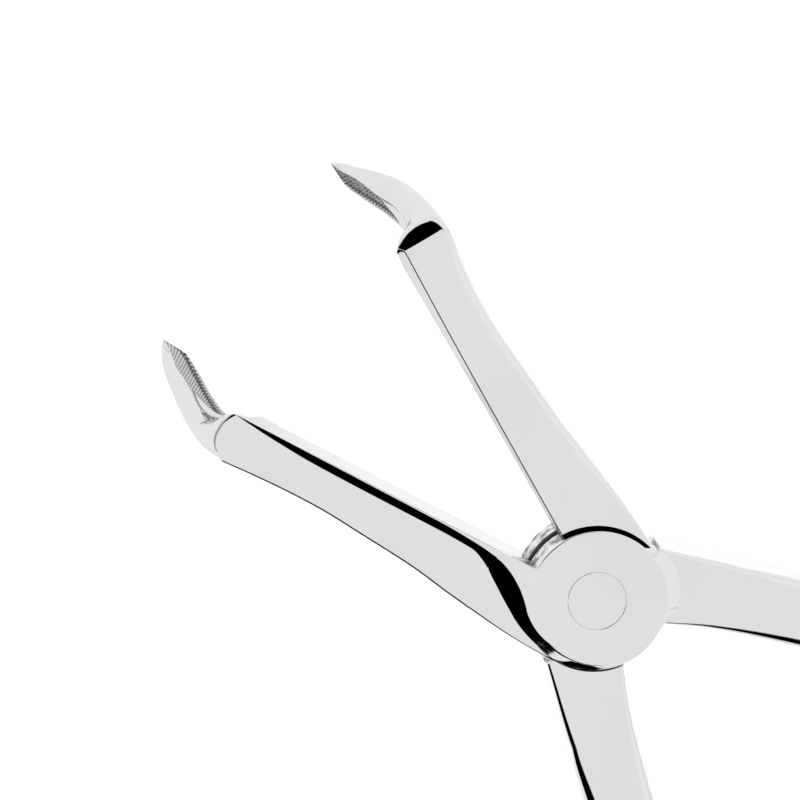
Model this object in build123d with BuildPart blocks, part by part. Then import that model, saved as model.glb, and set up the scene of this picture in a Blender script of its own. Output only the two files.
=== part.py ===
"""Dental extraction forceps with long jaws and down-turned beaks, in millimetres.

The origin is on the joint pin's axis, at the face of the front half's round joint plate, and
+Z is that face's normal. +X runs between the two jaws, and the beaks turn down towards -Z.
The front half's jaw is on +Y and the back half's jaw is on -Y. Both halves are at rest, each
opened by rest_angle from the line where the jaws would meet.

One half is drawn once, with its plate up, its jaw's inner edge on the X axis and z = 0 in the
plane where the two halves meet. It is then turned over for the back half, and lowered into place.
"""
import os

from build123d import *

# ---- driving dimensions -------------------------------------------------------------------

rest_angle = 15.8           # opening of each jaw from the middle line, degrees

plate_thickness = 4.4       # one half's thickness at the lap joint
plate_gap = 0.02            # each plate stays this far from the plane where they meet
boss_radius = 7.5           # round joint plate
shoulder_radius = 7.85      # round shoulder that clears the other half's plate
ramp_radius = 8.5           # foot of the slope round the joint plate, on its own jaw
face_drop = 0.9             # how far the jaw's faces lie below the joint plate, at the joint

jaw_length = 43.4           # pin to the end of the jaw's flat face
jaw_end_bulge = 0.9         # how far the rounded end of the face stands out
jaw_end_crown = 2.3         # where across the jaw the rounded end stands out most
jaw_end_step = 1.0          # how much shorter the jaw's outer corner is
jaw_end_depth = 0.05        # how far the jaw's faces lie below the joint plate, at the jaw's end
jaw_width_end = 5.8
jaw_width_waist = 5.3       # narrowest, at jaw_waist
jaw_width_middle = 6.1
jaw_width_joint = 7.8
jaw_waist = 32.0
jaw_middle = 20.0
jaw_tail = 4.5              # where the jaw's outer edge ends beside the joint plate
strip_width = 0.5           # strip at plate level along the jaw's inner edge

handle_half_thickness = 3.5
handle_corner = 2.6         # rounding of the handle's long edges
handle_end = 125.0          # pin to the middle of the handle's rounded end
handle_end_out = 12.6       # middle line to the same point

pin_shank_radius = 2.5
pin_head_radius = 3.1
pin_head_depth = 0.9
pin_clearance = 0.03        # running clearance of the pin in the back half

# The handle's plan: back from the pin, middle line to the outer edge and to the inner edge.
handle_stations = [
    (3.5, 7.9, 0.8),
    (13.0, 10.3, 2.8),
    (30.0, 14.3, 6.6),
    (50.0, 17.8, 9.2),
    (75.0, 19.8, 10.2),
    (100.0, 19.2, 9.5),
    (117.0, 18.2, 7.8),
]

# The beak is lofted through sections that fan round the bend. Each row is the section plane's
# angle from upright; its centre, out along the jaw and down from the plate's face; and four
# corners (front inner, front outer, back outer, back inner), each across the blade towards its
# front edge and out from the jaw's inner edge. The last number is the depth of the scoop.
beak_sections = [
    (0, (39.5, -4.4), (3.9, 0.4), (3.9, 5.2), (-3.9, 5.2), (-3.9, 0.4), 0.05),
    (20, (42.3, -5.0), (4.3, 0.5), (4.4, 5.6), (-4.2, 5.7), (-4.0, 0.6), 0.2),
    (40, (43.8, -7.3), (3.7, 2.7), (4.6, 5.2), (-4.0, 5.6), (-3.9, 1.6), 0.5),
    (55, (45.0, -10.0), (2.4, 2.6), (4.2, 4.3), (-3.5, 5.1), (-3.5, 2.1), 0.6),
    (62, (46.3, -13.0), (1.8, 1.5), (3.4, 3.0), (-2.7, 3.8), (-2.9, 1.5), 0.5),
    (65, (47.7, -15.9), (1.6, 0.3), (2.5, 1.6), (-1.7, 2.2), (-2.1, 0.2), 0.4),
    (68, (50.2, -18.4), (1.0, -0.9), (1.2, -0.1), (-1.0, 0.1), (-1.4, -0.9), 0.1),
]

face_height = plate_thickness - face_drop
end_height = plate_thickness - jaw_end_depth
cut_reach = 2.0             # cutting and trimming shapes stand out of the metal by this much

# ---- jaw: seen from its own plate's side, inner edge on the X axis, in the sketch plane -------

with BuildSketch() as jaw_outline:
    with BuildLine():
        inner_edge = Line((jaw_tail, 0), (jaw_length, 0))
        end_arc = ThreePointArc(
            inner_edge @ 1,
            (jaw_length + jaw_end_bulge, jaw_end_crown),
            (jaw_length - jaw_end_step, jaw_width_end),
        )
        outer_edge = Spline(
            end_arc @ 1,
            (jaw_waist, jaw_width_waist),
            (jaw_middle, jaw_width_middle),
            (jaw_tail, jaw_width_joint),
        )
        Line(outer_edge @ 1, inner_edge @ 0)
    make_face()

with BuildSketch(Plane.XZ) as jaw_side_profile:
    with BuildLine():
        Polyline(
            (0, face_height),
            (boss_radius, face_height),
            (jaw_length, end_height),
            (jaw_length + cut_reach, end_height),
            (jaw_length + cut_reach, -end_height),
            (boss_radius, -face_height),
            (0, -face_height),
            close=True,
        )
    make_face()

with BuildPart() as jaw:
    add(jaw_outline.sketch)
    extrude(amount=plate_thickness, both=True)
    extrude(jaw_side_profile.sketch, amount=jaw_width_joint + cut_reach, both=True, mode=Mode.INTERSECT)

# ---- handle: on the other side of the middle line from its own jaw -----------------------------

with BuildPart() as handle:
    with BuildSketch():
        with BuildLine():
            handle_outer_edge = Spline(*[(-back, -outer) for back, outer, inner in handle_stations])
            handle_inner_edge = Spline(*[(-back, -inner) for back, outer, inner in handle_stations])
            Line(handle_outer_edge @ 0, handle_inner_edge @ 0)
            ThreePointArc(handle_outer_edge @ 1, (-handle_end, -handle_end_out), handle_inner_edge @ 1)
        make_face()
    extrude(amount=handle_half_thickness, both=True)
    long_edges = handle.edges().filter_by(GeomType.BSPLINE) + handle.edges().filter_by(GeomType.CIRCLE)
    fillet(long_edges, radius=handle_corner)

# ---- joint plate: the round boss and the slope down to its own jaw ----------------------------

with BuildPart() as ramp:
    with Locations((0, 0, face_height)):
        Cone(ramp_radius, boss_radius, face_drop, align=(Align.CENTER, Align.CENTER, Align.MIN))
    extrude(jaw_outline.sketch, amount=plate_thickness, mode=Mode.INTERSECT)

with BuildPart() as strip:
    with BuildSketch():
        with BuildLine():
            Polyline((0, 0), (jaw_length, 0), (boss_radius, strip_width), (0, strip_width), close=True)
        make_face()
    extrude(amount=plate_thickness)

with BuildPart() as own_plate:
    with BuildSketch(Plane.XY.offset(plate_gap)):
        Circle(boss_radius)
    extrude(amount=plate_thickness - plate_gap)

# ---- one half, plate side up: jaw and handle open round the other half's plate ----------

with BuildPart() as other_plate_room:
    with BuildSketch(Plane.XY.offset(plate_gap)):
        Circle(shoulder_radius)
    extrude(amount=-plate_thickness - cut_reach)

with BuildPart() as half_blank:
    add(jaw.part)
    add(handle.part)
    add(other_plate_room.part, mode=Mode.SUBTRACT)
    add(own_plate.part)
    add(ramp.part)
    add(strip.part)

# ---- beak -------------------------------------------------------------------------------------

with BuildPart() as beak:
    for angle, centre, front_inner, front_outer, back_outer, back_inner, scoop in beak_sections:
        upright = Vector(0, 0, 1).rotate(Axis.Y, angle)
        outward = Vector(1, 0, 0).rotate(Axis.Y, angle)
        origin = (centre[0], 0, centre[1] + plate_thickness)
        with BuildSketch(Plane(origin=origin, x_dir=upright, z_dir=outward)):
            corners = [(u, -v) for u, v in (front_inner, front_outer, back_outer, back_inner)]
            scoop_middle = (
                (corners[0][0] + corners[3][0]) / 2,
                (corners[0][1] + corners[3][1]) / 2 - scoop,
            )
            with BuildLine():
                ThreePointArc(corners[3], scoop_middle, corners[0])
                Polyline(*corners)
            make_face()
    loft()

# ---- pin: a riveted pin whose two heads are sunk flush into the plates ------------------------


def pin_profile(clearance):
    """Half section of the pin in the XZ plane, grown by clearance."""
    head = pin_head_radius + clearance
    shank = pin_shank_radius + clearance
    head_foot = plate_thickness - pin_head_depth
    with BuildSketch(Plane.XZ) as profile:
        with BuildLine():
            Polyline(
                (0, plate_thickness),
                (head, plate_thickness),
                (shank, head_foot),
                (shank, -head_foot),
                (head, -plate_thickness),
                (0, -plate_thickness),
                close=True,
            )
        make_face()
    return profile.sketch


with BuildPart() as pin_blank:
    revolve(pin_profile(0), axis=Axis.Z)

with BuildPart() as running_hole:
    revolve(pin_profile(pin_clearance), axis=Axis.Z)

# ---- everything at rest, lowered so that the front plate's face is at z = 0 -------------------

meeting_plane = Location((0, 0, -plate_thickness))

with BuildPart() as front_half:
    with Locations(meeting_plane * Location((0, 0, 0), (0, 0, rest_angle))):
        add(half_blank.part)
        add(beak.part)
    with Locations(meeting_plane):
        add(pin_blank.part, mode=Mode.SUBTRACT)

with BuildPart() as back_half:
    with Locations(meeting_plane * Location((0, 0, 0), (0, 0, -rest_angle))):
        add(half_blank.part.rotate(Axis.X, 180))
        add(beak.part.mirror(Plane.XZ))
    with Locations(meeting_plane):
        add(running_hole.part, mode=Mode.SUBTRACT)

with BuildPart() as joint_pin:
    with Locations(meeting_plane):
        add(pin_blank.part)

# ---- files ------------------------------------------------------------------------------------

os.makedirs("parts", exist_ok=True)

front_half.part.label = "front_half"
export_step(front_half.part, "parts/front_half.step")

back_half.part.label = "back_half"
export_step(back_half.part, "parts/back_half.step")

joint_pin.part.label = "joint_pin"
export_step(joint_pin.part, "parts/joint_pin.step")
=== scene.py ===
import bpy
import math
import numpy as np
from mathutils import Matrix, Vector


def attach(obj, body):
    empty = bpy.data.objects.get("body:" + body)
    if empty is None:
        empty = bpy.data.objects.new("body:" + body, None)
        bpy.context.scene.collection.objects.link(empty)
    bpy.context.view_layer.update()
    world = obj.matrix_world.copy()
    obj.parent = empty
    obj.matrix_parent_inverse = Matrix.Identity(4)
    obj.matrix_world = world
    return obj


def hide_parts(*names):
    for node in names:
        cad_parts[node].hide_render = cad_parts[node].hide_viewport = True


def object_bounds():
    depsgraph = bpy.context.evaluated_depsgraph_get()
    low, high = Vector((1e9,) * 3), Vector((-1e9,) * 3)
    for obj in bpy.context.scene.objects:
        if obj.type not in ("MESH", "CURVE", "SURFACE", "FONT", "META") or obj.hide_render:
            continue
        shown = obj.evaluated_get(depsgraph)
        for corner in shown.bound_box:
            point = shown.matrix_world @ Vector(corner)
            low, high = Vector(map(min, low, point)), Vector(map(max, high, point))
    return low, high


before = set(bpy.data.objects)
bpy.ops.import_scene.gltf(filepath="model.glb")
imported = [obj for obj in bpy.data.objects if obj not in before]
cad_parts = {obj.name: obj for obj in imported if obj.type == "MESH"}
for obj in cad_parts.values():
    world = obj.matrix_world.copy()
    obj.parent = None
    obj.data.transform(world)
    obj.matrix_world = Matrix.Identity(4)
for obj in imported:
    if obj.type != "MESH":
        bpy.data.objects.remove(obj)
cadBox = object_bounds()
mm = 0.001

# What both halves share: millimetres from the pin, and heights from the plane where the halves meet.
joint = dict(restAngle=15.8, plateTop=4.4, plateRadius=7.5, shoulderRadius=7.87, gap=0.02,
             faceJoint=3.5,
             # how high the jaw's face lies at each distance from the pin
             faceRise=[(7.5, 3.5), (13, 3.84), (20, 3.95), (30, 4.02), (38, 4.15), (42.4, 4.34)])

camera = dict(place=(0.2254, -0.0523, 0.8081), aim=(0.02875, -0.00058, -0.00698), lens=360, sensor=36,
              up=(0.6701, -0.7128, -0.2070), clip=(0.01, 20))


def makeCamera():
    # the view axis runs from place to aim, and up is squared to it
    data = bpy.data.cameras.new("camera")
    data.lens, data.sensor_width = camera["lens"], camera["sensor"]
    data.clip_start, data.clip_end = camera["clip"]
    cam = bpy.data.objects.new("camera", data)
    bpy.context.scene.collection.objects.link(cam)
    cameraBack = (Vector(camera["place"]) - Vector(camera["aim"])).normalized()
    up = Vector(camera["up"])
    up = (up - up.dot(cameraBack) * cameraBack).normalized()
    right = up.cross(cameraBack)
    turn = Matrix((right, up, cameraBack)).transposed().to_4x4()
    cam.matrix_world = Matrix.Translation(camera["place"]) @ turn
    bpy.context.scene.camera = cam


makeCamera()
print("camera placed")


studio = dict(
    white=0.86, ceiling=0.80, ceilingAim=(-0.234, 0.062, 0.970), ceilingInner=0.95, ceilingOuter=0.72,
    # dark cards: direction, cosine where it is full dark, cosine where it ends, how dark
    cards=[
        ((0.545, -0.215, 0.810), 0.934, 0.926, 1.0),
        ((0.545, -0.215, 0.810), 0.926, 0.860, 0.55),
        ((-0.205, 0.885, 0.420), 0.830, 0.770, 1.0),
        ((0.120, 0.165, 0.979), 0.9945, 0.984, 0.75),
    ],
    horizonLow=-0.02, horizonHigh=0.12, horizonDark=0.25,
    floorLevel=cadBox[0][2] - 0.0004, floorSize=8.0, floorGlow=0.70, floorGrey=0.9, floorRough=0.9,
    lampSize=1.2, lampPower=4.0, lampPlace=(0.1, 0.1, 1.2),
    # light the steel gets from the floor: near the joint, far from it, and the two distances
    floorNear=0.40, floorFar=0.17, nearReach=0.03, farReach=0.052,
)


def addNode(tree, kind, **values):
    node = tree.nodes.new(kind)
    for key, value in values.items():
        setattr(node, key, value)
    return node


def mapRange(tree, value, low, high, start=0.0, end=1.0, smooth=True):
    node = addNode(tree, "ShaderNodeMapRange", interpolation_type="SMOOTHSTEP" if smooth else "LINEAR")
    tree.links.new(value, node.inputs["Value"])
    for name, number in zip(("From Min", "From Max", "To Min", "To Max"), (low, high, start, end)):
        node.inputs[name].default_value = number
    return node.outputs["Result"]


def math2(tree, operation, a, b):
    node = addNode(tree, "ShaderNodeMath", operation=operation)
    for socket, value in zip(node.inputs, (a, b)):
        if isinstance(value, (int, float)):
            socket.default_value = value
        else:
            tree.links.new(value, socket)
    return node.outputs[0]


def makeWorld():
    # brightness by direction: white all round, a softer ceiling, and dark cards with soft edges
    world = bpy.data.worlds.new("studio")
    bpy.context.scene.world = world
    world.use_nodes = True
    tree = world.node_tree
    background = tree.nodes["Background"]
    direction = addNode(tree, "ShaderNodeTexCoord").outputs["Generated"]

    def towards(aim):
        dot = addNode(tree, "ShaderNodeVectorMath", operation="DOT_PRODUCT")
        tree.links.new(direction, dot.inputs[0])
        dot.inputs[1].default_value = Vector(aim).normalized()
        return dot.outputs["Value"]

    level = mapRange(tree, towards(studio["ceilingAim"]), studio["ceilingOuter"], studio["ceilingInner"],
                     studio["white"], studio["ceiling"])
    for aim, full, edge, dark in studio["cards"]:
        card = mapRange(tree, towards(aim), edge, full, 1.0, 1.0 - dark)
        level = math2(tree, "MULTIPLY", level, card)
    height = towards((0, 0, 1))
    band = mapRange(tree, height, studio["horizonLow"], studio["horizonHigh"],
                    1.0 - studio["horizonDark"], 1.0)
    level = math2(tree, "MULTIPLY", level, band)
    tree.links.new(level, background.inputs["Strength"])
    background.inputs["Color"].default_value = (1, 1, 1, 1)
    view = bpy.context.scene.view_settings
    view.view_transform, view.look, view.exposure, view.gamma = "Standard", "None", 0, 1


def makeFloor():
    # a flat sheet under the lowest point. It glows one amount where it is seen and another where
    # the steel reflects it: more near the joint, less far away
    half = studio["floorSize"] / 2
    corners = [(-half, -half), (half, -half), (half, half), (-half, half)]
    mesh = bpy.data.meshes.new("floor")
    mesh.from_pydata([(x, y, studio["floorLevel"]) for x, y in corners], [], [(0, 1, 2, 3)])
    floor = bpy.data.objects.new("floor", mesh)
    bpy.context.scene.collection.objects.link(floor)
    material = bpy.data.materials.new("paleFloor")
    material.use_nodes = True
    shader = material.node_tree.nodes["Principled BSDF"]
    shader.inputs["Base Color"].default_value = (*[studio["floorGrey"]] * 3, 1)
    shader.inputs["Roughness"].default_value = studio["floorRough"]
    shader.inputs["Emission Color"].default_value = (1, 1, 1, 1)
    tree = material.node_tree
    seen = addNode(tree, "ShaderNodeLightPath").outputs["Is Camera Ray"]
    distance = addNode(tree, "ShaderNodeVectorMath", operation="LENGTH")
    tree.links.new(addNode(tree, "ShaderNodeTexCoord").outputs["Object"], distance.inputs[0])
    lit = mapRange(tree, distance.outputs["Value"], studio["nearReach"], studio["farReach"],
                   studio["floorNear"], studio["floorFar"])
    unseen = math2(tree, "MULTIPLY", lit, math2(tree, "SUBTRACT", 1.0, seen))
    glow = math2(tree, "ADD", unseen, math2(tree, "MULTIPLY", seen, studio["floorGlow"]))
    tree.links.new(glow, shader.inputs["Emission Strength"])
    mesh.materials.append(material)


def makeLamp():
    # one wide soft lamp overhead, for the matt surfaces
    data = bpy.data.lights.new("softLamp", "AREA")
    data.size, data.energy = studio["lampSize"], studio["lampPower"]
    lamp = bpy.data.objects.new("softLamp", data)
    bpy.context.scene.collection.objects.link(lamp)
    lamp.location = studio["lampPlace"]
    lamp.visible_glossy = False


makeWorld()
makeFloor()
makeLamp()
print("studio ready")


finish = dict(
    tint=(0.925, 0.930, 0.940, 1), tintWorn=(0.895, 0.900, 0.905, 1),
    # painted shade: the two groove colours on the next line are near-black for the shadowed groove between the
    # plates
    grooveShadeDark=(0.03, 0.03, 0.03, 1), grooveShadeLight=(0.10, 0.10, 0.10, 1),
    polishLow=0.035, polishHigh=0.075, pinLow=0.10, pinHigh=0.16, gripLow=0.16, gripHigh=0.26,
    # painted shade and painted reflection: the dark tooth colour below darkens the serrations' valleys, the
    # gutter and the dark lines along the jaw
    wallLow=0.38, wallHigh=0.55, toothLow=0.12, toothHigh=0.22, paintedDarkTone=(0.10, 0.105, 0.11, 1),
    grooveLow=0.5, grooveHigh=0.6, speckSize=800, wallBump=0.5, wallBumpDepth=0.00004,
    markStretch=(0.12, 1.0, 1.0), markDetail=4, hazeDetail=3,
    wallDark=(0.22, 0.23, 0.24, 1), wallLight=(0.88, 0.89, 0.89, 1),
    hazeRange=(0.35, 0.7), markRange=(0.4, 0.65), speckRange=(0.34, 0.60),
)


def polishGroup():
    # fine stretched noise for polishing marks, and slow noise for the haze that handling leaves
    group = bpy.data.node_groups.new("polishMarks", "ShaderNodeTree")
    face = group.interface
    for name, value in (("Mark Size", 900.0), ("Haze Size", 60.0), ("Waviness", 0.02)):
        face.new_socket(name, in_out="INPUT", socket_type="NodeSocketFloat").default_value = value
    face.new_socket("Vector", in_out="INPUT", socket_type="NodeSocketVector")
    face.new_socket("Haze", in_out="OUTPUT", socket_type="NodeSocketFloat")
    face.new_socket("Marks", in_out="OUTPUT", socket_type="NodeSocketFloat")
    face.new_socket("Height", in_out="OUTPUT", socket_type="NodeSocketFloat")
    source, sink = group.nodes.new("NodeGroupInput"), group.nodes.new("NodeGroupOutput")
    stretch = addNode(group, "ShaderNodeMapping")
    stretch.inputs["Scale"].default_value = finish["markStretch"]
    group.links.new(source.outputs["Vector"], stretch.inputs["Vector"])
    marks = addNode(group, "ShaderNodeTexNoise")
    marks.inputs["Detail"].default_value = finish["markDetail"]
    group.links.new(stretch.outputs[0], marks.inputs["Vector"])
    group.links.new(source.outputs["Mark Size"], marks.inputs["Scale"])
    haze = addNode(group, "ShaderNodeTexNoise")
    haze.inputs["Detail"].default_value = finish["hazeDetail"]
    group.links.new(source.outputs["Vector"], haze.inputs["Vector"])
    group.links.new(source.outputs["Haze Size"], haze.inputs["Scale"])
    group.links.new(mapRange(group, haze.outputs["Fac"], *finish["hazeRange"]), sink.inputs["Haze"])
    group.links.new(mapRange(group, marks.outputs["Fac"], *finish["markRange"]), sink.inputs["Marks"])
    wave = math2(group, "MULTIPLY", haze.outputs["Fac"], source.outputs["Waviness"])
    group.links.new(wave, sink.inputs["Height"])
    return group


polish = polishGroup()


def newSteel(name, roughLow, roughHigh, markSize=900.0, hazeSize=60.0, waviness=0.02, bump=0.02):
    # metal whose tint and roughness drift with the haze, and whose surface waves slightly
    material = bpy.data.materials.new(name)
    material.use_nodes = True
    tree = material.node_tree
    shader = tree.nodes["Principled BSDF"]
    shader.inputs["Metallic"].default_value = 1.0
    marks = addNode(tree, "ShaderNodeGroup", node_tree=polish)
    for key, value in (("Mark Size", markSize), ("Haze Size", hazeSize), ("Waviness", waviness)):
        marks.inputs[key].default_value = value
    place = addNode(tree, "ShaderNodeTexCoord")
    tree.links.new(place.outputs["Object"], marks.inputs["Vector"])
    tint = addNode(tree, "ShaderNodeMix", data_type="RGBA")
    tint.inputs["A"].default_value = finish["tint"]
    tint.inputs["B"].default_value = finish["tintWorn"]
    tree.links.new(marks.outputs["Haze"], tint.inputs["Factor"])
    tree.links.new(tint.outputs["Result"], shader.inputs["Base Color"])
    rough = mapRange(tree, marks.outputs["Marks"], 0, 1, roughLow, roughHigh)
    tree.links.new(rough, shader.inputs["Roughness"])
    bumps = addNode(tree, "ShaderNodeBump")
    bumps.inputs["Strength"].default_value = bump
    bumps.inputs["Distance"].default_value = mm
    tree.links.new(marks.outputs["Height"], bumps.inputs["Height"])
    tree.links.new(bumps.outputs["Normal"], shader.inputs["Normal"])
    return material, tree, place, tint, bumps


def mirrorSteel():
    return newSteel("mirrorSteel", finish["polishLow"], finish["polishHigh"])[0]


def pinSteel():
    return newSteel("pinSteel", finish["pinLow"], finish["pinHigh"], markSize=1500.0)[0]


def gripSteel():
    return newSteel("gripSteel", finish["gripLow"], finish["gripHigh"], markSize=1200.0)[0]


def wallSteel():
    # blasted steel: cloudy light and dark specks on a rough ground
    material, tree, place, tint, bumps = newSteel("wallSteel", finish["wallLow"], finish["wallHigh"])
    specks = addNode(tree, "ShaderNodeTexNoise")
    specks.inputs["Scale"].default_value = finish["speckSize"]
    specks.inputs["Detail"].default_value = 6
    tree.links.new(place.outputs["Object"], specks.inputs["Vector"])
    tint.inputs["A"].default_value = finish["wallDark"]
    tint.inputs["B"].default_value = finish["wallLight"]
    tree.links.new(mapRange(tree, specks.outputs["Fac"], *finish["speckRange"]), tint.inputs["Factor"])
    bumps.inputs["Strength"].default_value = finish["wallBump"]
    bumps.inputs["Distance"].default_value = finish["wallBumpDepth"]
    tree.links.new(specks.outputs["Fac"], bumps.inputs["Height"])
    return material


def serratedSteelPaintedDark():
    # serrated steel with painted shade and painted reflection: the attribute read here is 1 at the bottom of a
    # cut and in the gutter, painted dark as shade, and along the painted dark reflection lines of the jaw; there
    # it is dark and rough
    material, tree, _, tint, _ = newSteel("serratedSteelPaintedDark", finish["toothLow"], finish["toothHigh"])
    paintedDark = addNode(tree, "ShaderNodeAttribute", attribute_name="paintedDark")
    tint.inputs["B"].default_value = finish["paintedDarkTone"]
    tree.links.new(paintedDark.outputs["Fac"], tint.inputs["Factor"])
    return material


def grooveShadeSteel():
    # painted shade: the same steel, painted near-black in the groove between the plates, where shade falls in
    # the gap
    material, _, _, tint, _ = newSteel("grooveShadeSteel", finish["grooveLow"], finish["grooveHigh"])
    tint.inputs["A"].default_value = finish["grooveShadeDark"]
    tint.inputs["B"].default_value = finish["grooveShadeLight"]
    return material


steels = [mirrorSteel(), wallSteel(), serratedSteelPaintedDark(), gripSteel(), pinSteel(), grooveShadeSteel()]
mirrorIndex, wallIndex, paintedDarkIndex, gripIndex, pinIndex, grooveShadeIndex = range(len(steels))
print("finishes ready")


def smoothRows(knots, table, at, loose=False):
    # each column of table is a smooth curve through its knots; loose lets it swing a little past them
    knots, table = np.asarray(knots, float), np.asarray(table, float)
    flat = table.reshape(len(knots), -1)
    step = np.diff(knots)[:, None]
    secant = np.diff(flat, axis=0) / step
    slope = np.empty_like(flat)
    slope[0], slope[-1] = secant[0], secant[-1]
    slope[1:-1] = np.where(secant[1:] * secant[:-1] > 0,
                           2 * secant[1:] * secant[:-1] / (secant[1:] + secant[:-1] + 1e-12), 0)
    if loose:
        slope[1:-1] = (step[1:] * secant[:-1] + step[:-1] * secant[1:]) / (step[1:] + step[:-1])
    i = np.clip(np.searchsorted(knots, at, side="right") - 1, 0, len(knots) - 2)
    q = ((at - knots[i]) / (knots[i + 1] - knots[i]))[:, None]
    h = step[i]
    value = ((2 * q**3 - 3 * q**2 + 1) * flat[i] + (q**3 - 2 * q**2 + q) * h * slope[i]
             + (3 * q**2 - 2 * q**3) * flat[i + 1] + (q**3 - q**2) * h * slope[i + 1])
    return value.reshape((len(at),) + table.shape[1:])


def spread(count, ease=0.75):
    # count values from 0 up to but not including 1, closer together near both ends
    q = np.arange(count) / count
    return (1 - ease) * q + ease * (q - np.sin(2 * math.pi * q) / (2 * math.pi))


def ringFrom(corners, radii, counts, bulges, arc=5):
    # closed sections: straight or bowed sides between the corners, a quadratic curve round each corner.
    # Corner j's points are owned by -1 - j, and those of the side after it by j
    nextCorner = np.roll(corners, -1, axis=1)
    along = nextCorner - corners
    length = np.linalg.norm(along, axis=2, keepdims=True) + 1e-9
    unit = along / length
    before = np.roll(unit, 1, axis=1)
    room = 0.49 * np.minimum(length, np.roll(length, 1, axis=1))[..., 0]
    radius = np.minimum(radii, room)[..., None]
    start, end = corners - before * radius, corners + unit * radius
    pieces, owner = [], []
    for j in range(corners.shape[1]):
        q = np.arange(arc)[None, :, None] / arc
        bend = (1 - q)**2 * start[:, j:j + 1] + 2 * q * (1 - q) * corners[:, j:j + 1]
        pieces.append(bend + q**2 * end[:, j:j + 1])
        owner.append(np.full(arc, -1 - j))
        q = spread(counts[j])[None, :, None]
        stop = np.roll(start, -1, axis=1)[:, j:j + 1]
        side = (1 - q) * end[:, j:j + 1] + q * stop
        out = np.stack([unit[:, j, 1], -unit[:, j, 0]], axis=1)[:, None, :]
        side = side + out * bulges[:, j, None, None] * 4 * q * (1 - q)
        pieces.append(side)
        owner.append(np.full(counts[j], j))
    return np.concatenate(pieces, axis=1), np.concatenate(owner)


def place(points, side, flip):
    # local to world: side 1 is the front half; flip turns the piece over about X, else it is mirrored
    points = points.copy()
    if side < 0:
        points[..., 1] *= -1
        if flip:
            points[..., 2] *= -1
    angle = math.radians(joint["restAngle"]) * side
    x, y = points[..., 0].copy(), points[..., 1].copy()
    points[..., 0] = x * math.cos(angle) - y * math.sin(angle)
    points[..., 1] = x * math.sin(angle) + y * math.cos(angle)
    points[..., 2] -= joint["plateTop"]
    return points * mm


def skin(name, grid, body, node, capStart=False, capEnd=False, wrapRows=False, materialOf=None,
         paintedDark=None, sharp=30):
    # a mesh over a grid of rings: each cell is a quad, wound so that the closed volume is positive
    rows, count = grid.shape[:2]
    lastRow = rows if wrapRows else rows - 1
    i, j = np.meshgrid(np.arange(lastRow), np.arange(count), indexing="ij")
    nextI, nextJ = (i + 1) % rows, (j + 1) % count
    quads = np.stack([i * count + j, i * count + nextJ, nextI * count + nextJ, nextI * count + j], -1)
    quads = quads.reshape(-1, 4)
    points = grid.reshape(-1, 3)
    a, b, c, d = (points[quads[:, k]] for k in range(4))
    volume = np.einsum("ij,ij->i", a, np.cross(b, c) + np.cross(c, d)).sum()
    capFirst = np.arange(count)[::-1]
    capLast = (rows - 1) * count + np.arange(count)
    if volume < 0:
        quads, capFirst, capLast = quads[:, ::-1], capFirst[::-1], capLast[::-1]
    faces = quads.tolist()
    if capStart:
        faces.append(capFirst.tolist())
    if capEnd:
        faces.append(capLast.tolist())
    mesh = bpy.data.meshes.new(name)
    mesh.from_pydata(points.tolist(), [], faces)
    for material in steels:
        mesh.materials.append(material)
    index = np.zeros(len(faces), np.int32)
    if materialOf is not None:
        index[:len(quads)] = materialOf[:lastRow].reshape(-1)
    mesh.polygons.foreach_set("material_index", index)
    mesh.polygons.foreach_set("use_smooth", np.ones(len(faces), bool))
    mesh.set_sharp_from_angle(angle=math.radians(sharp))
    # a per-point darkness for the painted shade and the painted reflection lines
    if paintedDark is not None:
        paintedDarkData = mesh.attributes.new("paintedDark", "FLOAT", "POINT").data
        paintedDarkData.foreach_set("value", paintedDark.reshape(-1).astype(np.float32))
    piece = bpy.data.objects.new(name, mesh)
    bpy.context.scene.collection.objects.link(piece)
    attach(piece, body)
    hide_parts(node)
    return piece


def faceHeight(s):
    # the jaw's faces rise from the joint to the jaw's end, faster beside the joint
    along, level = np.array(joint["faceRise"]).T
    flat = np.clip(np.asarray(s, float).reshape(-1), along[0], along[-1])
    return smoothRows(along, level[:, None], flat)[:, 0].reshape(np.shape(s))


# Slope between the joint plate's level and the jaw's face: out from the jaw's inner edge, along the jaw.
slopeLine = dict(
    topAlong=[2.2, 4.4, 6.2, 8.2, 10.0, 12.0, 14.3, 19.0, 30.0, 42.4],
    topOut=[6.3, 5.6, 4.1, 2.4, 1.35, 0.71, 0.45, 0.18, 0.08, 0.0],
    footAlong=[3.7, 5.5, 7.7, 10.9, 13.1, 14.45, 18.3, 24.0, 30.0, 34.0, 38.0, 42.4],
    footOut=[7.2, 6.5, 5.4, 3.1, 1.6, 1.12, 1.0, 1.0, 0.98, 0.92, 0.62, 0.03],
)


def slopeEdges(s):
    # how far out the slope's top and foot lie at each place along the jaw
    at = np.clip(np.asarray(s, float).reshape(-1), slopeLine["topAlong"][0], slopeLine["topAlong"][-1])
    top = smoothRows(slopeLine["topAlong"], np.array(slopeLine["topOut"])[:, None], at)[:, 0]
    footAt = np.clip(at, slopeLine["footAlong"][0], None)
    foot = smoothRows(slopeLine["footAlong"], np.array(slopeLine["footOut"])[:, None], footAt)[:, 0]
    return top.reshape(np.shape(s)), foot.reshape(np.shape(s))


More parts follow.
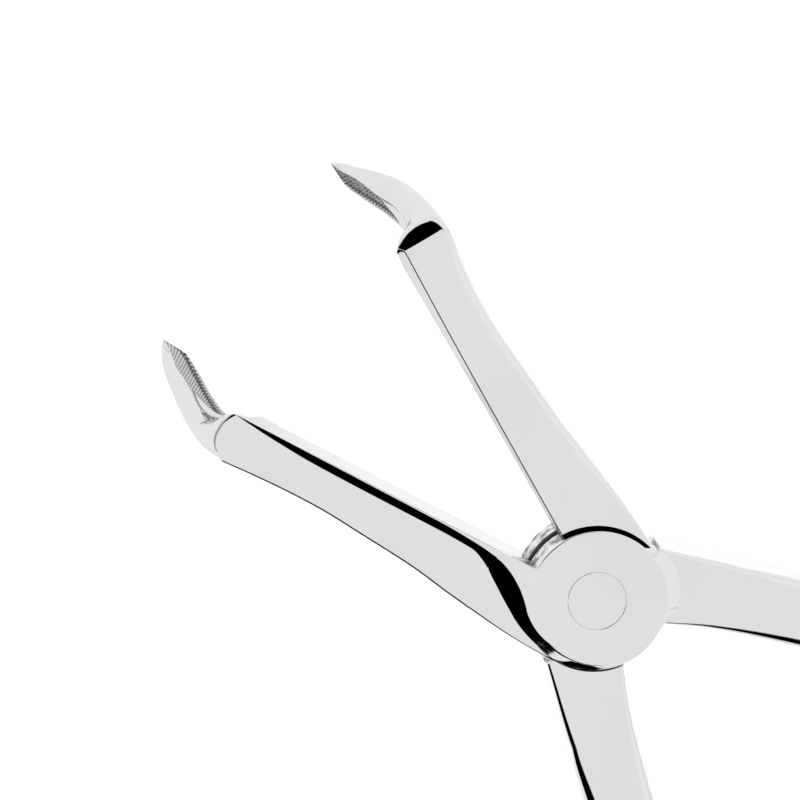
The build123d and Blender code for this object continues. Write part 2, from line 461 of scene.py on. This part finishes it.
jaw = dict(
    # along the jaw: outer edge, how far the flank bows out, bevel's width
    along=[(7.5, 8.05, 0.25, 0.28), (8.7, 7.9, 0.28, 0.28), (12, 7.05, 0.35, 0.30),
           (14.4, 6.7, 0.38, 0.33), (18.3, 6.05, 0.42, 0.38), (25.6, 5.35, 0.45, 0.48),
           (30.6, 4.95, 0.48, 0.56), (35.4, 4.9, 0.48, 0.66), (39.0, 5.0, 0.45, 0.76), (42.4, 5.15, 0.40, 0.86)],
    # where the rows start, where they stop bending round the shoulder, and where they end on each half
    runFrom=7.5, bendTo=12, runTo=(42.4, 42.1),
    # limits near the joint: distance from the pin, then the slope's top and foot and the outer rounding
    topLimit=([7.5, 12], [0.0, 0.75]), footLimit=([7.5, 12, 13], [1.2, 2.3, 3]),
    outerLimit=([7.5, 16, 37, 41.5], [0.4, 2, 2, 0.7]),
    # the strip beside the slope comes up to plate level from deckFrom on, over this distance
    deckFrom=8.2, deckOver=3.2, deckDrop=0.06, stripDrop=0.003, shoulderLeast=0.3, wallStep=0.06,
    bevelDrop=1.15, lowerRound=0.7, creaseRound=0.05, bevelRound=0.10, faceRound=0.25, farRound=0.1,
    # front half, back half: the outer edge's rounding, and width added along the jaw and at its end
    outerRound=(0.35, 1.5), outerExtra=(0.0, 0.35), endExtra=(0.0, 0.55),
    wideFrom=32, wideOver=10.4, endFrom=36, endOver=6.4,
    # where the face ends: across the jaw, and how far on from the last straight row; end is for the
    # front half and roll for the back half, whose roll also falls by this share of the way on
    endAcross=[-1, 0, 0.8, 1.7, 2.6, 3.5, 4.3, 5.0, 5.6, 6.5],
    endOut=[0.5, 1.0, 1.45, 1.75, 1.8, 1.6, 1.0, 0.1, -0.5, -0.9],
    rollAcross=[-1, 0, 0.8, 1.5, 2.2, 2.95, 3.8, 4.5, 5.4, 6.5],
    rollOut=[-0.2, 0.0, 0.32, 0.6, 0.8, 0.85, 0.68, 0.3, -0.4, -1.3], rollFall=0.42,
    # painted dark reflections: fine dark lines along the inner edge and round the face's end: how dark, where
    # and how wide
    edgeReflectionLine=0.75, endReflectionLine=0.8, endLineAt=1.0, endLineWidth=0.12,
    # the sections lean back, below this height, before the beak starts
    leanFrom=30.0, leanTo=42.4, leanEnd=0.40, leanBelow=4.3,
    rowsNear=14, rowsAlong=64, counts=(3, 6, 26, 26, 18, 6, 4, 112),
)

beak = dict(
    # plane's angle, its centre, then across and outward for the front inner, front outer, back outer
    # and back inner corners; the scoop, the outer corners' rounding, how much of the face's end line
    # it keeps, the edge's width and the lean
    frontStart=[(14, (41.456, -0.13), (4.40, 0.03), (4.05, 5.15),
                 (-4.25, 5.3), (-4.2, 0.05), 0.02, 0.6, 1.0, 0.03, 0.15),
                (30, (42.5, -0.52), (3.6, 1.9), (3.5, 5.1),
                 (-4.1, 5.3), (-3.95, 0.8), 0.2, 1.2, 0.45, 0.9, 0),
                (40, (43.8, -2.9), (2.4, 3.0), (3.7, 4.3),
                 (-4.0, 5.0), (-3.9, 1.5), 0.35, 1.4, 0.15, 0.9, 0),
                (55, (45.0, -5.6), (1.3, 2.5), (3.6, 3.35),
                 (-3.5, 4.3), (-3.5, 2.0), 0.5, 1.3, 0.0, 0.5, 0),
                (62, (46.3, -8.6), (0.7, 1.5), (3.05, 2.5),
                 (-2.7, 3.3), (-2.9, 1.4), 0.45, 1.1, 0.0, 0.15, 0)],
    backStart=[(5, (42.62, 0.0), (4.335, 0.0), (4.335, 6.0),
                (-4.25, 5.9), (-4.2, 0.05), 0.02, 0.7, 0.0, 0.85, 0.31),
               (12, (42.55, -0.07), (4.30, 0.1), (4.3, 6.1),
                (-4.25, 6.0), (-4.1, 0.2), 0.1, 0.9, 1.0, 0.30, 0.2),
               (30, (42.6, -0.52), (3.6, 1.9), (4.6, 6.0),
                (-4.1, 5.9), (-3.95, 0.8), 0.2, 1.5, 0.45, 0.9, 0),
               (40, (43.8, -2.9), (2.4, 3.0), (4.4, 5.4),
                (-4.0, 5.6), (-3.9, 1.5), 0.35, 1.6, 0.15, 0.9, 0),
               (55, (45.0, -5.6), (1.3, 2.5), (4.2, 4.5),
                (-3.5, 4.9), (-3.5, 2.0), 0.5, 1.5, 0.0, 0.5, 0),
               (62, (46.3, -8.6), (0.7, 1.5), (3.4, 3.1),
                (-2.7, 3.6), (-2.9, 1.4), 0.45, 1.1, 0.0, 0.15, 0)],
    sections=[
        (65, (47.7, -11.5), (1.1, 0.5), (2.45, 1.45),
         (-1.8, 2.0), (-2.2, 0.2), 0.3, 0.7, 0.0, 0.08, 0),
        (67.5, (49.3, -13.6), (0.9, -0.7), (1.3, -0.05),
         (-1.2, 0.05), (-1.5, -0.85), 0.1, 0.3, 0.0, 0.05, 0),
        (70, (50.45, -14.3), (0.10, -1.02), (0.10, -0.92),
         (-0.10, -0.92), (-0.10, -1.02), 0.0, 0.02, 0.0, 0.01, 0),
    ],
    # front half, back half: how much further the tip reaches, and each plane's share of it
    tipReach=(0.10, 0.52), tipShare=[(55, 0), (62, 0.15), (65, 0.4), (67.5, 0.8), (70, 1)],
    # front half, back half: where along the blade's rows the serrations begin in the blade's middle;
    # they begin earlier by the slant at its back edge and later by it at its front edge
    serratedFrom=(0.365, 0.46), serratedSlant=0.10, serratedTo=0.992,
    # the near edge is rounded past this angle; how far the flanks bow out below each angle
    roundFrom=20, nearRound=0.29, softShare=0.45, bow=((45, 0.40), (64, 0.30)),
    rows=210, pitch=0.42, cutDepth=0.14,
    # the gutter's painted shade, and how tightly the painted shade gathers at the bottom of each serration
    gutterAt=0.13, gutterWidth=0.07, gutterDepth=0.45, gutterPaintedShade=0.75, valleyShadeSharpness=2.2,
)


def slopeProfile(height, top, foot, plateTop):
    # strip at plate level, then the slope down to the face: three corners as (up, out)
    zero = np.zeros_like(height)
    return np.stack([np.stack([zero + plateTop, zero], -1), np.stack([zero + plateTop, top + 0.02], -1),
                     np.stack([height, foot], -1)], 1)


def bevelProfile(height, width, drop):
    # steep bevel along the inner edge, then the face: three corners as (up, out)
    zero = np.zeros_like(height)
    return np.stack([np.stack([height - drop * width, zero], -1), np.stack([height, width], -1),
                     np.stack([height, width + 0.8], -1)], 1)


def jawAndBeak(name, side, body, node):
    # one skin from the shoulder beside the joint, along the jaw and round into the beak's point.
    # Each row is a closed section in a plane that leans further and further forward: a point is its
    # row's centre plus its height times the plane's upright direction, and its distance out sideways
    plateUp = side > 0
    which = 0 if plateUp else 1
    runFrom, bendTo = jaw["runFrom"], jaw["bendTo"]
    run = np.concatenate([np.linspace(runFrom, bendTo, jaw["rowsNear"])[:-1],
                          np.linspace(bendTo, jaw["runTo"][which], jaw["rowsAlong"])])
    table = np.array(jaw["along"], float)
    outer, bow, width = smoothRows(table[:, 0], table[:, 1:], run, loose=True).T
    outer = outer + jaw["outerExtra"][which] * np.interp(run, [8, 20], [0, 1])
    outer = outer + jaw["endExtra"][which] * np.clip((run - jaw["wideFrom"]) / jaw["wideOver"], 0, 1)**2
    top, foot = slopeEdges(run)
    top = np.minimum(top, np.interp(run, *jaw["topLimit"]))
    foot = np.minimum(foot, np.interp(run, *jaw["footLimit"]))
    height = faceHeight(run)
    near = np.clip((run - jaw["deckFrom"]) / jaw["deckOver"], 0, 1)
    stripTop = joint["plateTop"] - jaw["stripDrop"]
    # beside the joint the slope stays under the plate's deck
    slopeTop = height + (stripTop - height) * near - jaw["deckDrop"] * (1 - near)
    up = slopeProfile(height, top, foot, stripTop)
    up[:, :2, 0] = slopeTop[:, None]
    flat = bevelProfile(height, width, jaw["bevelDrop"])
    front, back = (up, flat) if plateUp else (flat, up)
    back = back[:, ::-1] * np.array([-1, 1])
    outerTop = np.stack([height, outer], -1)[:, None]
    outerLow = np.stack([-height, outer], -1)[:, None]
    corners = np.concatenate([front, outerTop, outerLow, back], 1)
    count = len(run)
    outerRound, lowerRound = jaw["outerRound"][which], jaw["lowerRound"]
    farRound = jaw["farRound"]
    rounds = [jaw["creaseRound"], jaw["bevelRound"], jaw["faceRound"], outerRound, lowerRound]
    radii = np.tile(rounds + [farRound, farRound, farRound], (count, 1))
    radii[:, 3] = np.minimum(radii[:, 3], np.interp(run, *jaw["outerLimit"]))
    endShare = np.clip((run - jaw["endFrom"]) / jaw["endOver"], 0, 1)**2 * plateUp
    leanOver = jaw["leanTo"] - jaw["leanFrom"]
    lean = jaw["leanEnd"] * np.clip((run - jaw["leanFrom"]) / leanOver, 0, 1)**2
    # angle, centre, height, scoop, bow, end line, lean
    extras = np.stack([0 * run, run, 0 * run, 0 * run, bow, endShare, lean], -1)

    beakCorners, beakRadii, beakExtras = [corners[-1]], [radii[-1]], [extras[-1]]
    starts = beak["frontStart"] if plateUp else beak["backStart"]
    for angle, centre, *sides, scoop, rounding, share, edge, lean in starts + beak["sections"]:
        frontIn, frontOut, backOut, backIn = map(np.array, sides)
        tipShare = np.interp(angle, *zip(*beak["tipShare"]))
        centre = (centre[0] + beak["tipReach"][which] * tipShare, centre[1])
        size = np.linalg.norm(frontOut - frontIn)
        unit = (frontOut - frontIn) / size
        first = min(edge, 0.3 * size)
        drop = np.array([first * 1.1, 0])
        bevelMiddle = frontIn + unit * first
        if angle > beak["roundFrom"]:      # from here on the near edge is rounded, not bevelled
            inward = (frontIn - backIn) / np.linalg.norm(frontIn - backIn)
            drop = inward * first
            bevelMiddle = frontIn + (unit - inward) * first * beak["nearRound"]
        faceStart = min(first + (0.6 if angle < 13 else 0.05), 0.6 * size)
        beakCorners.append([frontIn - drop, bevelMiddle, frontIn + unit * faceStart,
                            frontOut, backOut, backIn + (backOut - backIn) * 0.25,
                            backIn + (backOut - backIn) * 0.06, backIn])
        soft = beak["softShare"] * first if angle > beak["roundFrom"] else 0.06
        beakRadii.append([soft, soft + 0.04, soft + 0.1, rounding, rounding] + [farRound] * 3)
        bowed = next((size for below, size in beak["bow"] if angle < below), 0)
        beakExtras.append([angle, centre[0], centre[1], scoop, bowed, share, lean])
    knots = np.arange(len(beakCorners)) + 0.0
    second = len(starts)
    fine = np.concatenate([np.linspace(0, 1, 15)[1:], np.linspace(1, second, 24 * second)[1:],
                           np.linspace(second, len(knots) - 1, beak["rows"])[1:]])
    beakTable = np.concatenate([np.array(beakCorners).reshape(len(knots), -1), np.array(beakRadii),
                                np.array(beakExtras)], 1)
    values = smoothRows(knots, beakTable, fine)
    corners = np.concatenate([corners, values[:, :16].reshape(-1, 8, 2)])
    radii = np.concatenate([radii, values[:, 16:24]])
    extras = np.concatenate([extras, values[:, 24:]])
    rows = len(corners)

    counts = jaw["counts"]
    bulges = np.zeros((rows, 8))
    bulges[:, 3] = -extras[:, 4]
    ring, owner = ringFrom(corners, radii, counts, bulges)
    inner = owner == 7
    q = spread(counts[7])[None, :]
    bladeRow = np.clip((np.arange(rows) - count) / len(fine), 0, 1)[:, None]
    scoop = extras[:, 3:4] * 4 * q * (1 - q)
    # serrations: two crossing sets of triangular waves cut into the blade's inner face, and a gutter
    angle = np.radians(extras[:, 0])
    alongStep = np.diff(extras[:, 1], prepend=extras[0, 1])
    downStep = np.diff(extras[:, 2], prepend=extras[0, 2])
    travel = np.cumsum(np.hypot(alongStep, downStep))[:, None]
    innerWidth = np.linalg.norm(corners[:, 0] - corners[:, 7], axis=1)[:, None]
    across = (q - 0.5) * innerWidth
    waveA = np.abs(((travel + across) / beak["pitch"]) % 1 * 2 - 1)
    waveB = np.abs(((travel - across) / beak["pitch"]) % 1 * 2 - 1)
    cutting = np.minimum(waveA, waveB)
    begin = beak["serratedFrom"][which] - beak["serratedSlant"] * (1 - q) + beak["serratedSlant"] * q
    mask = np.clip((bladeRow - begin) / 0.02, 0, 1)
    mask = mask * np.clip((beak["serratedTo"] - bladeRow) / 0.02, 0, 1)
    mask = mask * np.clip(q / 0.05, 0, 1) * np.clip((0.97 - q) / 0.03, 0, 1)
    gutter = np.exp(-((q - beak["gutterAt"]) / beak["gutterWidth"])**2) * mask
    depth = mask * beak["cutDepth"] * (1 - cutting) * (1 - 0.7 * gutter)
    depth = depth + beak["gutterDepth"] * gutter * np.clip(innerWidth / 5, 0, 1)
    paintedDark = np.zeros((rows, ring.shape[1]))
    # painted dark reflection: a fine dark line beside the inner edge's corner, and on the front half round the
    # end of the face
    rowKnot = np.concatenate([np.linspace(-1, 0, count), fine])[:, None]
    onTop = np.isin(owner, [1, 2, -2, -3])[None, :]
    paintedDark += jaw["edgeReflectionLine"] * (owner == -1)[None, :] * np.clip((0.5 - rowKnot) / 0.5, 0, 1)
    endReflectionLine = np.exp(-((rowKnot - jaw["endLineAt"]) / jaw["endLineWidth"])**2)
    paintedDark += plateUp * jaw["endReflectionLine"] * onTop * endReflectionLine
    paintedDark[paintedDark < 0.02] = 0
    # painted shade: dark at the bottom of each serration and in the gutter
    shade = mask * (1 - cutting)**beak["valleyShadeSharpness"] + gutter * beak["gutterPaintedShade"]
    paintedDark[:, inner] = np.clip(shade, 0, 1)
    ring[:, inner, 1] += scoop + depth

    u, v = ring[..., 0], ring[..., 1]
    x = extras[:, 1:2] + u * np.sin(angle)[:, None]
    z = extras[:, 2:3] + u * np.cos(angle)[:, None]
    across, out, fall = "endAcross", "endOut", 0.0
    if not plateUp:
        across, out, fall = "rollAcross", "rollOut", jaw["rollFall"]
    bulge = smoothRows(jaw[across], np.array(jaw[out])[:, None], np.clip(v, -1, 6.5).reshape(-1))
    bulge = bulge.reshape(v.shape) * extras[:, 5:6] * np.clip(u / 4.0, 0, 1)
    x = x + bulge + extras[:, 6:7] * np.minimum(u - jaw["leanBelow"], 0)
    z = z - bulge * fall
    # beside the joint the rows bend to follow the round shoulder
    share = np.clip((run - runFrom) / (bendTo - runFrom), 0, 1)
    share = np.concatenate([share, np.ones(rows - len(run))])[:, None]
    shoulder = np.sqrt(np.clip(joint["shoulderRadius"]**2 - v**2, jaw["shoulderLeast"], None))
    x = np.where(share < 1, shoulder * (1 - share) + bendTo * share, x)
    grid = np.stack([x, v, z], -1)
    # the shoulder's wall: the same first row drawn down to the middle plane
    first = grid[0]
    wall = []
    for scale in (0.02, 0.5, 0.96):
        wallRow = first.copy()
        wallRow[:, 2] *= scale
        wall.append(wallRow)
    grid[0, :, 0] += jaw["wallStep"]
    grid = np.concatenate([np.array(wall), grid])
    paintedDark = np.concatenate([np.zeros((len(wall), paintedDark.shape[1])), paintedDark])
    # faces that carry painted shade or painted reflection use the serrated steel
    touched = (paintedDark > 0) | (np.roll(paintedDark, -1, 1) > 0) | (np.roll(paintedDark, -1, 0) > 0)
    index = np.where(touched, paintedDarkIndex, mirrorIndex)
    return skin(name, place(grid, side, False), body, node, True, True,
                materialOf=index, paintedDark=paintedDark)


deck = dict(
    # rounding of the plain rim by azimuth, and the azimuth past which the wall is left blasted
    rim=([150, 250, 318, 335, 360], [0.10, 0.10, 0.10, 0.26, 0.26]), wallFrom=326,
    holeTop=3.13, holeShank=2.53, countersink=0.9, slopeEndRun=12.3,
    wallRows=8, wallFoot=0.9, wallReach=9.0,
    # underside: how far in from the wall, and how far up from the plane where the halves meet
    under=[(0.10, 0.43), (0.5, 0.10), (0.9, 0.0)], underTo=5,
    # how much of the rim is slope (1) and how much plain rounding (0), by azimuth
    slopeShare=([0, 110, 150, 182, 192, 248, 256, 360], [1, 1, 0, 0, 1, 1, 0, 0]),
    # slope round the joint plate: azimuth from the jaw's inner edge, top radius, foot radius
    slope=[(0.0, 12.2, 20), (3.4, 12.02, 18), (5.0, 11.15, 14.2), (7.7, 10.09, 12.95),
           (16.3, 8.54, 11.3), (25, 7.85, 10.2), (35, 7.42, 9.4), (50, 7.13, 8.5), (63, 6.85, 8.0),
           (72, 6.68, 7.8), (90, 6.72, 7.75), (120, 6.9, 7.62), (150, 7.1, 7.5), (180, 7.15, 7.5),
           (190, 7.3, 8.0), (205, 7.4, 8.9), (225, 7.4, 9.1), (240, 7.4, 8.8), (250, 7.3, 8.0),
           (258, 7.15, 7.5), (360, 7.15, 7.5)],
)


def jointPlate(name, side, body, node):
    # a plate whose radial profile changes with azimuth: hole, flat top, slope or rim, wall, underside.
    # x and y are the radius times the azimuth's cosine and sine
    azimuth = np.unique(np.concatenate([np.linspace(0.02, 359.9, 420), np.linspace(0.02, 20, 90)]))
    table = np.array(deck["slope"])
    topRadius, footRadius = smoothRows(table[:, 0], table[:, 1:], azimuth).T
    radians = np.radians(azimuth)
    limit = np.where(azimuth < 60, deck["slopeEndRun"] / np.maximum(np.cos(radians), 0.2), 99)
    isSlope = np.interp(azimuth, *deck["slopeShare"])[:, None]
    top = joint["plateTop"]
    footLevel = faceHeight(footRadius * np.cos(radians))
    footLevel = np.where(azimuth > 170, joint["faceJoint"], footLevel) - 0.02
    rim = np.interp(azimuth, *deck["rim"])[:, None]
    drop = (top - footLevel)[:, None] * isSlope + rim * (1 - isSlope)
    topRadius = np.where(isSlope[:, 0] > 0, topRadius, joint["plateRadius"] - rim[:, 0])
    q = np.concatenate([[0, 0.03, 0.08, 0.15], np.linspace(0.22, 1, 12)])[None, :]
    easeQ = np.where(q < 0.15, q * q / 0.3, q - 0.075) / 0.925
    roundR, roundZ = np.sin(q * math.pi / 2), 1 - np.cos(q * math.pi / 2)
    outward = isSlope * q + (1 - isSlope) * roundR
    slopeR = topRadius[:, None] + (footRadius - topRadius)[:, None] * outward
    slopeZ = top - drop * (isSlope * easeQ + (1 - isSlope) * roundZ)
    slopeR = np.minimum(slopeR, limit[:, None])
    # near the jaw's inner edge the level comes from the same lines as the jaw's own slope
    alongJaw, outJaw = slopeR * np.cos(radians)[:, None], slopeR * np.sin(radians)[:, None]
    topLine, footLine = slopeEdges(np.clip(alongJaw, 2.2, 42))
    share = np.clip((outJaw - topLine) / np.maximum(footLine - topLine, 0.05), 0, 1)
    ownZ = top - (top - faceHeight(alongJaw) + 0.02) * share
    own = np.clip((40 - azimuth) / 20, 0, 1)[:, None]
    slopeZ = np.where(own > 0, own * ownZ + (1 - own) * slopeZ, slopeZ)
    flatQ = spread(26)[None, 1:]
    start = deck["holeTop"] + 0.03
    flatR = start + (topRadius[:, None] - start) * flatQ
    ones = np.ones_like(azimuth)[:, None]
    endR = slopeR[:, -1:]
    wallEnd = np.minimum(endR, np.where(isSlope > 0.5, deck["wallReach"], 99))
    low = joint["gap"]
    rimZ = slopeZ[:, -1:]
    wallQ = np.linspace(0, 1, deck["wallRows"])[None, 1:]
    wallR = endR + (wallEnd - endR) * wallQ
    wallZ = rimZ + (low + deck["wallFoot"] - rimZ) * wallQ
    underR = np.concatenate([wallEnd - inwards for inwards, _ in deck["under"]]
                            + [deck["underTo"] * ones], 1)
    underZ = np.concatenate([(low + rise) * ones for _, rise in deck["under"]] + [low * ones], 1)
    shankR = deck["holeShank"] * ones
    holeR = np.concatenate([shankR, shankR, deck["holeTop"] * ones], 1)
    holeZ = np.concatenate([low * ones, (top - deck["countersink"]) * ones, (top - 0.03) * ones], 1)
    radius = np.concatenate([start * ones, flatR, slopeR, wallR, underR, holeR], 1)
    level = np.concatenate([top * ones, top + 0 * flatR, slopeZ, wallZ, underZ, holeZ], 1)
    x, y = radius * np.cos(radians)[:, None], radius * np.sin(radians)[:, None]
    grid = np.stack([x, y + 0.002, level], -1)      # a hair outwards, clear of the jaw's inner edge
    which = np.full(grid.shape[:2], mirrorIndex)
    wallFrom = flatR.shape[1] + slopeR.shape[1]
    which[:, wallFrom:] = np.where(azimuth[:, None] > deck["wallFrom"], wallIndex, mirrorIndex)
    grooveFrom = wallFrom + wallR.shape[1]
    # painted shade: the groove rows under the wall get the near-black groove steel
    which[:, grooveFrom:grooveFrom + underR.shape[1]] = grooveShadeIndex
    return skin(name, place(grid, side, True), body, node, wrapRows=True,
                materialOf=which)


handle = dict(
    # back from the pin, middle line to the outer edge and to the inner edge, corner rounding
    stations=[(7.5, 7.95, 0.9, 0.5), (13, 10.3, 2.8, 1.0), (20, 12.1, 4.55, 1.8), (30, 14.3, 6.6, 2.4),
              (50, 17.8, 9.2, 2.6), (75, 19.8, 10.2, 2.6), (100, 19.2, 9.5, 2.6), (117, 18.2, 7.8, 2.6)],
    armFrom=7.5, bendTo=13, plainTo=44, armTo=117, sideCounts=(34, 16, 34, 16), cornerArc=12,
    tailTurn=0.985, tailRows=26, tailRound=2.6, tailFull=0.75, gripFade=2,
    halfThick=3.5, tailLength=7.9, shoulderEnd=3.5,
    gripFrom=46, gripTo=113, gripPitch=1.3, gripDepth=0.16,
)


def handleArm(name, side, body, node):
    # rounded sections along the handle, closed by a rounded tail; the grip is a diamond pattern, the
    # smaller of two crossing triangular waves, pressed inwards
    armFrom, bendTo, armTo = handle["armFrom"], handle["bendTo"], handle["armTo"]
    back = np.concatenate([np.linspace(armFrom, bendTo, 14)[:-1],
                           np.linspace(bendTo, handle["plainTo"], 40)[:-1],
                           np.linspace(handle["plainTo"], armTo, 330)])
    tail = np.linspace(0, 1, handle["tailRows"])[1:]
    table = np.array(handle["stations"], float)
    outer, inner, rounding = smoothRows(table[:, 0], table[:, 1:], back, loose=True).T
    middle, half = (outer + inner) / 2, (outer - inner) / 2
    tailTurn = tail * math.pi / 2 * handle["tailTurn"]
    tailBack = armTo + handle["tailLength"] * np.sin(tailTurn)
    shrink = np.cos(tailTurn)
    drift = (middle[-1] - middle[-2]) / (back[-1] - back[-2])
    tailMiddle = middle[-1] + drift * (tailBack - armTo)
    back = np.concatenate([back, tailBack])
    middle = np.concatenate([middle, tailMiddle])
    half = np.concatenate([half, half[-1] * shrink])
    thin = np.sqrt(shrink) * handle["tailFull"] + shrink * (1 - handle["tailFull"])
    thick = handle["halfThick"] * np.concatenate([np.ones(len(back) - len(tail)), thin])
    rounding = np.concatenate([rounding, np.full(len(tail), handle["tailRound"])])
    rounding = rounding * thick / handle["halfThick"]
    corners = np.stack([np.stack([thick, middle - half], -1), np.stack([thick, middle + half], -1),
                        np.stack([-thick, middle + half], -1), np.stack([-thick, middle - half], -1)], 1)
    radii = np.tile(rounding[:, None], (1, 4))
    ring = ringFrom(corners, radii, handle["sideCounts"], np.zeros((len(back), 4)),
                    arc=handle["cornerArc"])[0]
    centre = np.stack([0 * middle, middle], -1)[:, None]
    away = ring - centre
    reach = np.linalg.norm(away, axis=2, keepdims=True) + 1e-9
    around = np.cumsum(np.linalg.norm(np.diff(ring, axis=1, prepend=ring[:, :1]), axis=2), axis=1)
    pitch = handle["gripPitch"]
    turns = np.round(around[:, -1:] / pitch)
    phase = around / np.maximum(around[:, -1:], 1e-6) * np.median(turns)
    diamond = np.minimum(np.abs((back[:, None] / pitch + phase) % 1 * 2 - 1),
                         np.abs((back[:, None] / pitch - phase) % 1 * 2 - 1))
    fade = np.clip((back - handle["gripFrom"]) / handle["gripFade"], 0, 1)
    fade = fade * np.clip((handle["gripTo"] - back) / handle["gripFade"], 0, 1)
    ring = ring - away / reach * (handle["gripDepth"] * fade[:, None] * (1 - diamond))[..., None]
    u, v = ring[..., 0], ring[..., 1]
    share = np.clip((back - armFrom) / (bendTo - armFrom), 0, 1)[:, None]
    shoulder = np.sqrt(np.clip(joint["shoulderRadius"]**2 - v**2, handle["shoulderEnd"]**2, None))
    x = np.where(share < 1, shoulder * (1 - share) + bendTo * share, back[:, None])
    grid = np.stack([-x, -v, u], -1)
    first = grid[0]
    wall = []
    for scale in (0.02, 0.5):
        wallRow = first.copy()
        wallRow[:, 2] *= scale
        wall.append(wallRow)
    grid = np.concatenate([np.array(wall), grid])
    which = np.full(grid.shape[:2], mirrorIndex)
    which[:2] = wallIndex
    which[2:][fade > 0] = gripIndex
    return skin(name, place(grid, side, True), body, node, True, True,
                materialOf=which)


pin = dict(head=3.10, shank=2.5, headDepth=0.9, sides=128)


def jointPin(name):
    # a riveted pin: two flush heads, each tapering to the shank. Each point of the profile is turned
    # about the joint, its radius times the cosine and sine of the turn
    top = joint["plateTop"] - 0.001
    upper = [(0.02, top), (1.5, top - 0.001), (2.9, top - 0.003), (3.05, top - 0.006),
             (pin["head"], top - 0.05), (pin["shank"] + 0.02, top - pin["headDepth"]),
             (pin["shank"], top - pin["headDepth"] - 0.1), (pin["shank"], 0.5)]
    profile = np.array(upper + [(r, -z) for r, z in upper[::-1]])
    turn = np.linspace(0, 2 * math.pi, pin["sides"] + 1)[:-1]
    grid = np.stack([profile[:, :1] * np.cos(turn), profile[:, :1] * np.sin(turn),
                     np.repeat(profile[:, 1:], len(turn), 1)], -1)
    which = np.full(grid.shape[:2], pinIndex)
    return skin(name, place(grid, 1, False), "front", "joint_pin", True, True,
                materialOf=which)


for half, side in (("front", 1), ("back", -1)):
    node = half + "_half"
    jawAndBeak(half + "JawAndBeak", side, half, node)
    jointPlate(half + "JointPlate", side, half, node)
    handleArm(half + "Handle", side, half, node)
    print(half, "half made")
jointPin("jointPin")
print("pin made")
